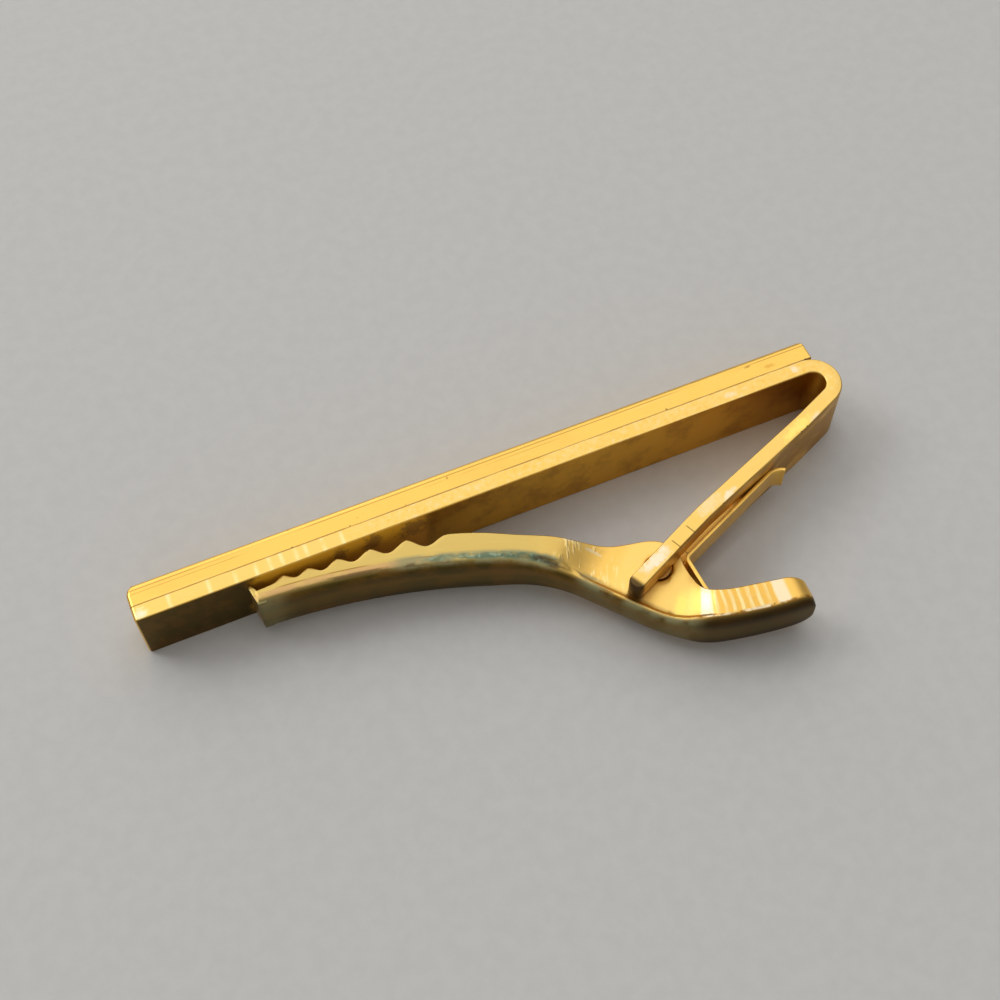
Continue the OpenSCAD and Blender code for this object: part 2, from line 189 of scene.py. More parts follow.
class TieClipStage(bpy.types.PropertyGroup):
    """Camera, floor and lights."""

    eye: FloatVectorProperty(
        name="Eye",
        description="Place of the camera",
        unit="LENGTH",
        size=3,
        default=BAR_LOW + Vector((6.318, -49.426, 91.607)) * MM,
    )
    look_down: tilt("Look down", "Angle of the view below the horizon", 59.594)
    look_round: tilt("Look round", "Angle of the view from +Y toward +X", 21.67)
    roll: tilt("Roll", "Tilt of the picture", -1.471)
    lens: FloatProperty(name="Lens", description="Focal length in millimetres", default=54.0)
    floor_size: FloatProperty(name="Floor", description="Side of the floor", unit="LENGTH", default=1.8)
    floor_colour: colour("Floor colour", "Pale floor", (0.60, 0.59, 0.57))
    world_light: brightness("World light", "The light all round", 0.30)
    top_light: brightness("Top light", "The panel that upper faces mirror", 0.885)
    back_light: brightness("Back light", "The panel behind the clip", 0.7)
    fill_light: brightness("Fill light", "The panel in front of the clip", 0.4)
    key_light: brightness("Key light", "The small panel at the upper left", 5.0)


def settings():
    """The three groups of values: sizes, colours and stage."""
    scene = bpy.context.scene
    return scene.tie_clip_sizes, scene.tie_clip_colours, scene.tie_clip_stage


# Node groups that several finishes share


def new_group(name, outputs, **inputs):
    """An empty shader node group, the sockets that come into it and those that leave it.

    An input is given its default number, or None if it is a vector."""
    group = bpy.data.node_groups.new(name, "ShaderNodeTree")
    for label, value in inputs.items():
        kind = "NodeSocketVector" if value is None else "NodeSocketFloat"
        socket = group.interface.new_socket(name=label, in_out="INPUT", socket_type=kind)
        if value is not None:
            socket.default_value = value
    for label in outputs:
        group.interface.new_socket(name=label, in_out="OUTPUT", socket_type="NodeSocketFloat")
    start, end = group.nodes.new("NodeGroupInput"), group.nodes.new("NodeGroupOutput")
    return group, start.outputs, end.inputs


def join(tree, *pairs):
    """Links each pair of sockets."""
    for start, end in pairs:
        tree.links.new(start, end)


def fill(tree, socket, value):
    """Links a socket to another, or gives it a plain value."""
    if isinstance(value, bpy.types.NodeSocket):
        tree.links.new(value, socket)
    elif value is not None:
        socket.default_value = value


def math_node(tree, operation, first, second=None):
    """A Math node fed by sockets or plain numbers. Returns its output."""
    node = tree.nodes.new("ShaderNodeMath")
    node.operation = operation
    fill(tree, node.inputs[0], first)
    fill(tree, node.inputs[1], second)
    return node.outputs[0]


def product(tree, first, *others):
    """The product of sockets and plain numbers. Returns its output."""
    for other in others:
        first = math_node(tree, "MULTIPLY", first, other)
    return first


def vector_node(tree, operation, *values):
    """A Vector Math node fed by sockets or plain vectors. Returns it."""
    node = tree.nodes.new("ShaderNodeVectorMath")
    node.operation = operation
    for socket, value in zip(node.inputs, values):
        fill(tree, socket, value)
    return node


def ramp(tree, value, low, high):
    """A mask that goes smoothly from 0 at low to 1 at high. Returns its output."""
    node = tree.nodes.new("ShaderNodeMapRange")
    node.interpolation_type = "SMOOTHSTEP"
    fill(tree, node.inputs["From Min"], low)
    fill(tree, node.inputs["From Max"], high)
    tree.links.new(value, node.inputs["Value"])
    return node.outputs["Result"]


def noise(tree, vector, scale, detail=3.0, rough=0.55):
    """A noise texture. Returns its value."""
    node = tree.nodes.new("ShaderNodeTexNoise")
    node.inputs["Detail"].default_value = detail
    node.inputs["Roughness"].default_value = rough
    fill(tree, node.inputs["Scale"], scale)
    tree.links.new(vector, node.inputs["Vector"])
    return node.outputs["Fac"]


def stretched(tree, vector, scale=(1, 1, 1), turn=(0, 0, 0), shift=(0, 0, 0)):
    """The vector turned and stretched. Returns the output."""
    node = tree.nodes.new("ShaderNodeMapping")
    node.inputs["Location"].default_value = shift
    node.inputs["Rotation"].default_value = [math.radians(angle) for angle in turn]
    node.inputs["Scale"].default_value = scale
    tree.links.new(vector, node.inputs["Vector"])
    return node.outputs["Vector"]


def build_scratches():
    """Fine scratches: long hair lines along X and a few short ones across."""
    group, given, out = new_group("Scratches", ["Mask", "Height"], Vector=None, Amount=0.5)
    vector = given["Vector"]
    total = None
    for turn, along, across, keep in (
        ((0, 0, 2), 60, 9000, 0.66),
        ((0, 0, -7), 130, 7000, 0.70),
        ((0, 0, 58), 260, 5200, 0.72),
        ((0, 0, 118), 300, 6000, 0.73),
    ):
        line = noise(group, stretched(group, vector, (along, across, across), turn), 1.0, 1.0)
        line = ramp(group, line, keep, keep + 0.05)
        total = line if total is None else math_node(group, "MAXIMUM", total, line)
    patch = ramp(group, noise(group, vector, 260.0, 2.0), 0.42, 0.62)
    mask = product(group, total, patch, given["Amount"])
    join(group, (mask, out["Mask"]), (product(group, mask, -1.0), out["Height"]))


def build_edge_wear():
    """Edge wear: a mask of the convex edges, broken up so that it isn't an even line."""
    group, given, out = new_group("Edge wear", ["Mask"], Vector=None, Radius=0.2 * MM, Breakup=900.0)
    bevel = group.nodes.new("ShaderNodeBevel")
    bevel.samples = 6
    geometry = group.nodes.new("ShaderNodeNewGeometry")
    join(group, (given["Radius"], bevel.inputs["Radius"]))
    dot = vector_node(group, "DOT_PRODUCT", bevel.outputs["Normal"], geometry.outputs["Normal"])
    bent = ramp(group, math_node(group, "SUBTRACT", 1.0, dot.outputs["Value"]), 0.01, 0.12)
    broken = ramp(group, noise(group, given["Vector"], given["Breakup"], 3.0), 0.32, 0.62)
    join(group, (product(group, bent, broken), out["Mask"]))


def build_facing():
    """Facing: a mask of the surfaces that face one way, in the piece's own frame."""
    group, given, out = new_group("Facing", ["Mask"], Direction=None, Low=0.2, High=0.8)
    place = group.nodes.new("ShaderNodeTexCoord")
    dot = vector_node(group, "DOT_PRODUCT", place.outputs["Normal"], given["Direction"])
    join(group, (ramp(group, dot.outputs["Value"], given["Low"], given["High"]), out["Mask"]))


def build_film():
    """Film: a cloudy mask of tarnish, thin in places."""
    group, given, out = new_group("Film", ["Mask"], Vector=None, Scale=300.0, Cover=0.5)
    vector, scale = given["Vector"], given["Scale"]
    clouds = noise(group, vector, scale, 4.0, 0.6)
    fine = noise(group, vector, product(group, scale, 7.0), 3.0, 0.6)
    edge = math_node(group, "SUBTRACT", 0.75, product(group, given["Cover"], 0.5))
    rise = math_node(group, "SUBTRACT", clouds, edge)
    rise = math_node(group, "ADD", rise, product(group, fine, 0.12))
    join(group, (ramp(group, rise, -0.04, 0.2), out["Mask"]))


def build_specks():
    """Specks: small ragged flecks, scattered in loose groups."""
    group, given, out = new_group("Specks", ["Mask"], Vector=None, Scale=2600.0, Share=0.1)
    vector = given["Vector"]
    wobble = group.nodes.new("ShaderNodeTexNoise")
    wobble.inputs["Scale"].default_value = 6000.0
    cells = group.nodes.new("ShaderNodeTexVoronoi")
    tone = group.nodes.new("ShaderNodeSeparateColor")
    warp = vector_node(group, "MULTIPLY_ADD", wobble.outputs["Color"], (0.2 * MM,) * 3, vector)
    join(
        group,
        (vector, wobble.inputs["Vector"]),
        (warp.outputs["Vector"], cells.inputs["Vector"]),
        (given["Scale"], cells.inputs["Scale"]),
        (cells.outputs["Color"], tone.inputs["Color"]),
    )
    chosen = math_node(group, "LESS_THAN", tone.outputs["Red"], given["Share"])
    size = math_node(group, "ADD", product(group, tone.outputs["Green"], 0.26), 0.08)
    inside = ramp(group, math_node(group, "SUBTRACT", size, cells.outputs["Distance"]), 0.0, 0.12)
    grouped = ramp(group, noise(group, vector, 240.0, 2.0), 0.38, 0.6)
    join(group, (product(group, inside, chosen, grouped), out["Mask"]))


def build_waves():
    """Waves: the slow unevenness of drawn and hand-finished metal, and its fine drawn grain."""
    group, given, out = new_group("Waves", ["Height", "Grain"], Vector=None, Scale=220.0)
    vector = given["Vector"]
    slow = noise(group, stretched(group, vector, (0.35, 1, 1)), given["Scale"], 2.0)
    grain = noise(group, stretched(group, vector, (0.12, 1, 1)), 9000.0, 2.0)
    join(group, (slow, out["Height"]), (grain, out["Grain"]))


def build_blot():
    """Blot: a blot with a ragged rim, 1 inside and 0 outside, for stains, rubs, painted glints and
    painted shadows.
    """
    group, given, out = new_group("Blot", ["Mask"], Vector=None, Centre=None, Size=None, Ragged=0.5)
    vector = given["Vector"]
    away = vector_node(group, "SUBTRACT", vector, given["Centre"])
    away = vector_node(group, "DIVIDE", away.outputs["Vector"], given["Size"])
    away = vector_node(group, "LENGTH", away.outputs["Vector"]).outputs["Value"]
    rough = math_node(group, "SUBTRACT", noise(group, vector, 2600.0, 3.0, 0.65), 0.5)
    away = math_node(group, "ADD", away, product(group, rough, given["Ragged"], 3.0))
    join(group, (ramp(group, away, 1.25, 0.35), out["Mask"]))


def build_file_marks():
    """File marks: short bright strokes across the run, in uneven groups."""
    group, given, out = new_group("File marks", ["Mask"], Vector=None, Pitch=0.5 * MM, Lean=0.15)
    split = group.nodes.new("ShaderNodeSeparateXYZ")
    join(group, (given["Vector"], split.inputs[0]))
    leaning = product(group, split.outputs["Y"], given["Lean"])
    along = math_node(group, "ADD", split.outputs["X"], leaning)
    along = math_node(group, "DIVIDE", along, given["Pitch"])
    across = product(group, split.outputs["Y"], 350.0)
    place = group.nodes.new("ShaderNodeCombineXYZ")
    join(group, (along, place.inputs["X"]), (across, place.inputs["Y"]))
    stroke = noise(group, place.outputs["Vector"], 1.7, 2.0, 0.7)
    join(group, (ramp(group, stroke, 0.52, 0.66), out["Mask"]))


def build_flutes():
    """Flutes: even file cuts across the run, each a little bent and worn."""
    group, given, out = new_group("Flutes", ["Mask"], Vector=None, Pitch=0.6 * MM)
    vector = given["Vector"]
    split = group.nodes.new("ShaderNodeSeparateXYZ")
    join(group, (vector, split.inputs[0]))
    turns = math_node(group, "DIVIDE", split.outputs["X"], given["Pitch"])
    drift = product(group, noise(group, vector, 500.0, 1.0), 0.5)
    turns = math_node(group, "ADD", turns, drift)
    wave = math_node(group, "SINE", product(group, turns, math.tau))
    worn = ramp(group, noise(group, stretched(group, vector, (1.6, 0.3, 1)), 1500.0, 3.0), 0.25, 0.6)
    join(group, (product(group, ramp(group, wave, -0.3, 0.8), worn), out["Mask"]))


SHARED = (
    build_scratches,
    build_edge_wear,
    build_facing,
    build_film,
    build_specks,
    build_waves,
    build_blot,
    build_file_marks,
    build_flutes,
)


class Finish:
    """One metal finish: a Principled shader whose colour, roughness and metal are laid on in coats.

    With a run, X of its places is the distance along the bent sheet and Y the height beside it."""

    def __init__(self, name, gold, roughness, run=False):
        self.material = bpy.data.materials.new(name)
        self.material.use_nodes = True
        self.tree = self.material.node_tree
        self.tree.nodes.clear()
        new = self.tree.nodes.new
        self.shader = new("ShaderNodeBsdfPrincipled")
        join(self.tree, (self.shader.outputs[0], new("ShaderNodeOutputMaterial").inputs["Surface"]))
        place, split = new("ShaderNodeTexCoord"), new("ShaderNodeSeparateXYZ")
        join(self.tree, (place.outputs["Object"], split.inputs[0]))
        self.axes = dict(zip("XYZ", split.outputs))
        if run:
            sheet, flat = new("ShaderNodeUVMap"), new("ShaderNodeSeparateXYZ")
            sheet.uv_map = "run"
            join(self.tree, (sheet.outputs["UV"], flat.inputs[0]))
            self.axes.update(X=flat.outputs["X"], Y=flat.outputs["Y"])
        joined = new("ShaderNodeCombineXYZ")
        join(self.tree, *((self.axes[axis], joined.inputs[axis]) for axis in "XYZ"))
        self.vector = joined.outputs["Vector"]
        self.colours = settings()[1]
        self.colour = tuple(getattr(self.colours, gold))
        self.roughness = roughness
        self.metal = 1.0
        self.height = None

    def shared(self, name, **values):
        """A shared node group, placed here with its own values. Returns it."""
        node = self.tree.nodes.new("ShaderNodeGroup")
        node.node_tree = bpy.data.node_groups[name]
        if "Vector" in node.inputs:
            join(self.tree, (self.vector, node.inputs["Vector"]))
        for label, value in values.items():
            node.inputs[label].default_value = value
        return node

    def mask(self, name, **values):
        """The mask of a shared node group."""
        return self.shared(name, **values).outputs["Mask"]

    def mixed(self, mask, low, high, kind="FLOAT"):
        """Low where the mask is 0 and high where it is 1."""
        node = self.tree.nodes.new("ShaderNodeMix")
        node.data_type = kind
        index = {"FLOAT": (2, 3), "RGBA": (6, 7)}[kind]
        self.tree.links.new(mask, node.inputs[0])
        for slot, value in zip(index, (low, high)):
            plain = kind == "RGBA" and not isinstance(value, bpy.types.NodeSocket)
            fill(self.tree, node.inputs[slot], (*value, 1) if plain else value)
        return next(output for output in node.outputs if output.enabled)

    def coat(self, mask, tone=None, roughness=None, metal=None, strength=1.0):
        """Lays a named colour, a roughness and a metal value where a mask, or several, say."""
        if isinstance(mask, tuple):
            mask = product(self.tree, *mask)
        if strength != 1.0:
            mask = product(self.tree, mask, strength)
        if tone is not None:
            self.colour = self.mixed(mask, self.colour, tuple(getattr(self.colours, tone)), "RGBA")
        if roughness is not None:
            self.roughness = self.mixed(mask, self.roughness, roughness)
        if metal is not None:
            self.metal = self.mixed(mask, self.metal, metal)

    def raise_by(self, value, depth):
        """Adds a height to the bump, this many microns where the value is 1."""
        term = product(self.tree, value, depth * MICRON)
        self.height = term if self.height is None else math_node(self.tree, "ADD", self.height, term)

    def line(self, axis, centre, half, soft):
        """A mask that is 1 within half of one coordinate and fades over soft. Millimetres."""
        away = math_node(self.tree, "SUBTRACT", self.axes[axis], centre * MM)
        away = math_node(self.tree, "ABSOLUTE", away)
        return ramp(self.tree, away, (half + soft) * MM, half * MM)

    def above(self, axis, low, high):
        """A mask that rises from 0 to 1 between two places on an axis, in millimetres."""
        return ramp(self.tree, self.axes[axis], low * MM, high * MM)

    def below(self, axis, low, high):
        """A mask that falls from 1 to 0 between two places on an axis, in millimetres."""
        return ramp(self.tree, self.axes[axis], high * MM, low * MM)

    def span(self, axis, low, high, soft):
        """A mask of a stretch of an axis, with soft ends. Millimetres."""
        return self.times(self.above(axis, low - soft, low), self.below(axis, high, high + soft))

    def broken(self, scale, low=0.4, high=0.6, stretch=(1, 1, 1), shift=(0, 0, 0)):
        """A patchy mask, to break up another."""
        cloud = noise(self.tree, stretched(self.tree, self.vector, stretch, shift=shift), scale, 3.0)
        return ramp(self.tree, cloud, low, high)

    def blot(self, centre, size, ragged=0.5):
        """A blot for stains, rubs, painted glints and painted shadows: its centre and half sizes in
        millimetres on this finish's own axes.
        """
        return self.mask("Blot", Centre=Vector(centre) * MM, Size=Vector(size) * MM, Ragged=ragged)

    def facing(self, direction, low=0.35, high=0.8):
        """A mask of the surfaces that face one way."""
        return self.mask("Facing", Direction=direction, Low=low, High=high)

    def strokes(self, places, half):
        """Strokes across the run: a mask with a peak at each of these places, in millimetres."""
        reach = places[-1] + 1
        along = math_node(self.tree, "DIVIDE", self.axes["X"], reach * MM)
        node = self.tree.nodes.new("ShaderNodeValToRGB")
        stops = node.color_ramp.elements
        for stop, position in zip(stops, (0.0, 1.0)):
            stop.position, stop.color = position, (0, 0, 0, 1)
        for place in places:
            for step, value in ((-half, 0), (0, 1), (half, 0)):
                stops.new((place + step) / reach).color = (value, value, value, 1)
        join(self.tree, (along, node.inputs[0]))
        return node.outputs["Color"]

    def times(self, *masks):
        """The product of masks."""
        return product(self.tree, *masks)

    def finish(self):
        """Joins the coats to the shader. What is the same all over is set on its socket."""
        into = self.shader.inputs
        fill(self.tree, into["Base Color"], self.colour)
        fill(self.tree, into["Roughness"], self.roughness)
        fill(self.tree, into["Metallic"], self.metal)
        bump = self.tree.nodes.new("ShaderNodeBump")
        bump.inputs["Distance"].default_value = 1.0
        join(self.tree, (self.height, bump.inputs["Height"]), (bump.outputs["Normal"], into["Normal"]))
        return self.material


def common_wear(finish, edge_mm, scratch=0.6, edge=0.7):
    """What every gold surface has: slow waves, grain, scratches and edges rubbed over a width."""
    waves = finish.shared("Waves")
    finish.raise_by(waves.outputs["Height"], WAVE_HEIGHT)
    finish.raise_by(waves.outputs["Grain"], GRAIN_HEIGHT)
    finish.coat(ramp(finish.tree, waves.outputs["Grain"], 0.35, 0.7), roughness=0.44, strength=0.5)
    scratches = finish.shared("Scratches", Amount=scratch)
    finish.coat(scratches.outputs["Mask"], "rubbed", 0.3, strength=0.35)
    finish.raise_by(scratches.outputs["Height"], 1.6)
    finish.coat(finish.mask("Edge wear", Radius=edge_mm * MM), "rubbed", 0.24, strength=edge)


def seam_line(finish, at_mm):
    """The thin, broken brown line where the bar is soldered to the strip."""
    seam = (finish.line("Y", at_mm, 0.02, 0.06), finish.broken(700.0, 0.3, 0.55, (0.5, 1, 1)))
    finish.coat(seam, "brown", 0.5, strength=0.6)
    beside = (finish.line("Y", at_mm, 0.08, 0.12), finish.mask("Specks", Scale=3200.0, Share=0.16))
    finish.coat(beside, "olive", 0.6, strength=0.85)


def bar_finish(sizes):
    """Bright plate with two thin brown lines painted as shade along the rounded front edge, a few small
    stains and a soldered seam.
    """
    finish = Finish("bar_gold_worn", "bar_gold", 0.27)
    seam, front = BAR_LOW.y / MM, BAR_HIGH.y / MM
    free_end = BAR_LOW.x / MM
    finish.coat(finish.mask("Film", Scale=160.0, Cover=0.35), "brown", strength=0.07)
    common_wear(finish, 0.14, edge=0.55)
    # Two thin brown lines along the rounded front edge are painted shade.
    half = sizes.edge_shade_line / MM
    worn = finish.broken(260.0, 0.36, 0.5, (0.3, 1, 1))
    hair = (finish.line("Y", front - 0.5, half, 0.03), worn, finish.facing(UP))
    finish.coat(hair, "brown", 0.5, strength=0.6)
    worn = finish.broken(330.0, 0.5, 0.6, (0.3, 1, 1), (9, 2, 0))
    faint_edge_shade = (finish.line("Y", front - 0.78, half * 0.6, 0.03), worn, finish.facing(UP))
    finish.coat(faint_edge_shade, "brown", strength=0.45)
    finish.coat(finish.mask("Specks", Scale=2400.0, Share=0.05), "brown", 0.5, strength=0.6)
    for along, out, size, tone, roughness in (
        (46.9, 0.5, (0.5, 0.2), "orange", 0.45),
        (45.45, 1.02, (0.22, 0.1), "brown", 0.5),
    ):
        stain_and_shadow = finish.blot((free_end + along, seam + out, TOP_MARK), (*size, TOP_REACH), 0.9)
        finish.coat(stain_and_shadow, tone, roughness, strength=0.6)
    seam_line(finish, seam)
    return finish.finish()


def strip_finish(sizes):
    """Paler, rubbed plate, crossed by burnished marks, with painted glints on its top and a film on the
    sheltered inner face that is partly painted shade and painted reflection.
    """
    finish = Finish("strip_gold_worn", "pale_gold", 0.3, run=True)
    finish.coat(finish.mask("Film", Scale=240.0, Cover=0.4), "bar_gold", strength=0.5)
    common_wear(finish, 0.18, scratch=0.8, edge=0.6)
    frost = noise(finish.tree, finish.vector, 2800.0, 5.0, 0.8)
    frosted = finish.times(finish.span("X", 19, 50, 6), finish.facing(UP))
    pale, deep = ramp(finish.tree, frost, 0.52, 0.68), ramp(finish.tree, frost, 0.48, 0.36)
    finish.coat((frosted, pale), "silver_glint_and_frost", strength=0.38)
    finish.coat((frosted, deep), "umber", strength=0.42)
    finish.raise_by(finish.times(frosted, frost), 3)
    marks = finish.strokes(CROSS_MARKS, sizes.cross_mark / MM)
    marks = (marks, finish.facing(UP), finish.broken(1100.0, 0.3, 0.62))
    finish.coat(marks, "burnished", 0.22, strength=0.9)
    # Painted glints: pale blots on the free end's corner, near the fold and along the arm stand for
    # light glancing off rounded edges.
    for centre, size, tone, strength in (
        ((0.55, -0.15), (0.5, 0.5), "rubbed", 0.9),
        ((0.5, -0.1), (0.3, 0.35), "silver_glint_and_frost", 0.8),
        ((48.4, 0.1), (0.3, 0.3), "silver_glint_and_frost", 0.6),
        ((43.2, 0.0), (0.5, 0.3), "silver_glint_and_frost", 0.4),
        ((56.8, 0.1), (1.5, 0.45), "arm_glint", 0.9),
        ((55.2, 0.4), (0.5, 0.2), "silver_glint_and_frost", 0.5),
        ((64.1, 0.3), (0.7, 0.25), "silver_glint_and_frost", 0.75),
        ((65.6, -0.1), (1.2, 0.5), "silver_glint_and_frost", 0.35),
        ((71.3, -0.05), (1.4, 0.45), "silver_glint_and_frost", 0.85),
    ):
        rub = (finish.blot((*centre, TOP_MARK), (*size, TOP_REACH), 0.8), finish.facing(UP))
        finish.coat(rub, tone, 0.28, strength=strength)
    for place in (67.95, 69.45):
        outer_half = finish.above("Y", -0.25, -0.1)
        cut = (finish.line("X", place, 0.02, 0.04), outer_half, finish.facing(UP))
        finish.coat(cut, "olive", 0.5, strength=0.7)
    sheltered_side(finish)
    arm_side(finish)
    seam_line(finish, STRIP_HALF)
    return finish.finish()


def sheltered_side(finish):
    """The strip's inner face: a golden brown film that is partly painted shade, olive painted shade at
    the free end, a painted reflection of the lever's gold opposite the teeth, painted shadows of the
    teeth and painted shade in the fold.
    """
    # The golden brown film over the whole inner face is partly painted shade.
    inner = finish.below("Y", -STRIP_HALF + 0.01, -STRIP_HALF + 0.07)
    finish.coat(inner, "umber", 0.4, strength=0.97)
    grain = finish.mask("Film", Scale=420.0, Cover=0.45)
    finish.coat((inner, grain), "brown", 0.5, strength=0.45)
    # Painted shade: olive, mottled with brown, over the free end of the inner face.
    shaded_free_end = finish.times(inner, finish.below("X", 11, 19))
    finish.coat(shaded_free_end, "olive", 0.45, strength=0.93)
    mottle = finish.mask("Film", Scale=760.0, Cover=0.5)
    finish.coat((shaded_free_end, mottle), "brown", strength=0.3)
    # Painted shade: brown inside the fold.
    fold = (inner, finish.span("X", 46, 52.5, 4))
    finish.coat(fold, "brown", 0.5, strength=0.4)
    # Painted reflection of the lever's gold: a diffuse orange opposite the teeth.
    cloud = product(finish.tree, finish.broken(420.0, 0.25, 0.75), 0.5)
    ragged = math_node(finish.tree, "ADD", finish.span("X", 10.0, 17.8, 3.6), cloud)
    reflected_gold = (inner, ramp(finish.tree, ragged, 0.5, 1.0), finish.above("Z", -1.5, 0.8))
    finish.coat(reflected_gold, "reflected_orange", 0.45, metal=0.0)
    # Painted shadows of the teeth: three brown blots.
    for along, reach in ((14.0, 0.5), (16.3, 0.75), (19.2, 1.2)):
        stain_and_shadow = (inner, finish.blot((along, -STRIP_HALF, 3.7), (reach, 0.3, 1.05), 0.8))
        finish.coat(stain_and_shadow, "brown", 0.55, strength=0.75)


def arm_side(finish):
    """The arm's outer face, orange gold near the spring, and painted shade on the ends of the prongs.
    """
    outer = finish.above("Y", STRIP_HALF - 0.07, STRIP_HALF - 0.01)
    outer = finish.times(outer, finish.above("X", 50, 51))
    finish.coat(outer, "orange", 0.38, strength=0.45)
    grain = finish.mask("Film", Scale=420.0, Cover=0.5)
    finish.coat((outer, grain), "umber", 0.5, strength=0.4)
    # Painted shade: near black on the prongs' end faces and dark brown over their ends.
    cap = (finish.above("X", 73.0, 73.15), finish.facing((-0.9, -0.43, 0), 0.05, 0.3))
    finish.coat(cap, "painted_shade", 0.5, metal=0.8, strength=0.85)
    shaded_prong_end = (finish.above("X", 73.05, 73.4), finish.broken(1500.0, 0.1, 0.4))
    finish.coat(shaded_prong_end, "prong_end_shade", 0.55, metal=0.7, strength=0.92)


def lever_finish(sizes):
    """Stamped gold: cream jaw sides, verdigris along the bend, file marks on neck and tab, and painted
    highlights on the tab, the rim and round the pivot.
    """
    finish = Finish("lever_gold_worn", "lever_gold", 0.3, run=True)
    finish.coat(finish.mask("Film", Scale=260.0, Cover=0.4), "orange", strength=0.12)
    finish.coat(finish.below("X", 17, 23), "cream", strength=0.8)
    common_wear(finish, 0.18, scratch=0.7, edge=0.65)
    sheltered_back(finish)
    jaw_bend(finish)
    strokes = finish.mask("File marks", Pitch=0.55 * MM, Lean=0.35)
    neck = finish.times(
        finish.span("X", 19.6, 25.4, 0.6), finish.above("Y", 0.8, 1.1), finish.below("Y", 2.6, 3.4)
    )
    finish.coat((strokes, neck), "rubbed", 0.2, strength=0.7)
    finish.raise_by(finish.times(strokes, neck), 6)
    flutes = finish.mask("Flutes", Pitch=sizes.flute)
    tab = finish.times(finish.span("X", 31.1, 35.3, 0.3), finish.above("Y", 0.5, 0.8))
    finish.coat(tab, "orange", 0.34, strength=0.35)
    finish.coat((flutes, tab), "fluted", 0.24, strength=0.7)
    finish.raise_by(finish.times(flutes, tab), 10)
    # Painted highlights: two pale bands across the tab's side.
    side = finish.times(finish.above("Y", 0.5, 0.7), finish.facing(UP, 0.3, 0.7))
    for place, half in ((30.3, 0.28), (35.7, 0.3)):
        rub = (finish.line("X", place, half, 0.3), side)
        finish.coat(rub, "silver_glint_and_frost", 0.22, strength=0.7)
    # Painted glints: two pale blots on the rim.
    for centre, size, strength in (((19.75, 2.75), (0.5, 0.3), 0.85), ((21.3, 2.6), (0.7, 0.16), 0.6)):
        glint = finish.blot((*centre, 4.1), (*size, 1.2), 0.7)
        finish.coat(glint, "silver_glint_and_frost", 0.27, strength=strength)
    # Painted sheen: lighter gold round the pivot, and a painted yellow highlight beside the thumb tab.
    ear_sheen_mask = (finish.span("X", 23.5, 29.0, 1.0), finish.above("Y", 0.7, 1.0), finish.facing(UP))
    finish.coat(ear_sheen_mask, "ear_sheen", 0.36, strength=0.6)
    patch = finish.blot((28.3, 1.6, 3.5), (0.55, 1.1, 2.2), 0.3)
    finish.coat(patch, "ear_highlight", 0.3, strength=0.85)
    return finish.finish()


def sheltered_back(finish):
    """The lever's back wall and the lower half of its bends: olive brown, partly painted shade,
    streaked along the sheet, with painted shade under the tab and painted highlights along its edge.
    """
    # The olive film over the back wall is partly painted shade.
    back = finish.below("Y", 0.16, 0.5)
    finish.coat(back, "olive", 0.42, metal=0.95, strength=0.96)
    streaks = finish.broken(900.0, 0.42, 0.66, (0.16, 1, 1))
    finish.coat((back, streaks), "brown", 0.42, strength=0.3)
    stains = (back, finish.mask("Film", Scale=520.0, Cover=0.5))
    finish.coat(stains, "brown", 0.55, strength=0.35)
    jaw_end = (back, finish.below("X", 0.6, 2.4), finish.broken(900.0, 0.2, 0.5))
    finish.coat(jaw_end, "grey_green", 0.5, strength=0.5)
    # Painted shade: near black on the back under the thumb tab.
    tab = (finish.below("Y", 0.42, 0.62), finish.above("X", 28.5, 31))
    finish.coat(tab, "painted_shade", 0.5, strength=0.75)
    chips = (finish.line("Y", 0.55, 0.06, 0.12), finish.above("X", 28, 30), finish.broken(1700.0))
    finish.coat(chips, "brown", 0.6, strength=0.8)
    # Painted highlights: broken pale glints along the edge of the tab's back.
    glints = finish.broken(2300.0, 0.5, 0.6, (0.6, 1, 1))
    glints = (finish.line("Y", 0.6, 0.05, 0.08), finish.span("X", 28.6, 35.8, 0.5), glints)
    finish.coat(glints, "silver_glint_and_frost", 0.3, strength=0.7)
    middle = (finish.facing((-0.4, -0.9, 0), 0.5, 0.9), finish.line("Z", 2.38, 0.3, 1.0))
    finish.coat(middle, "back_rub", 0.34, strength=0.35)


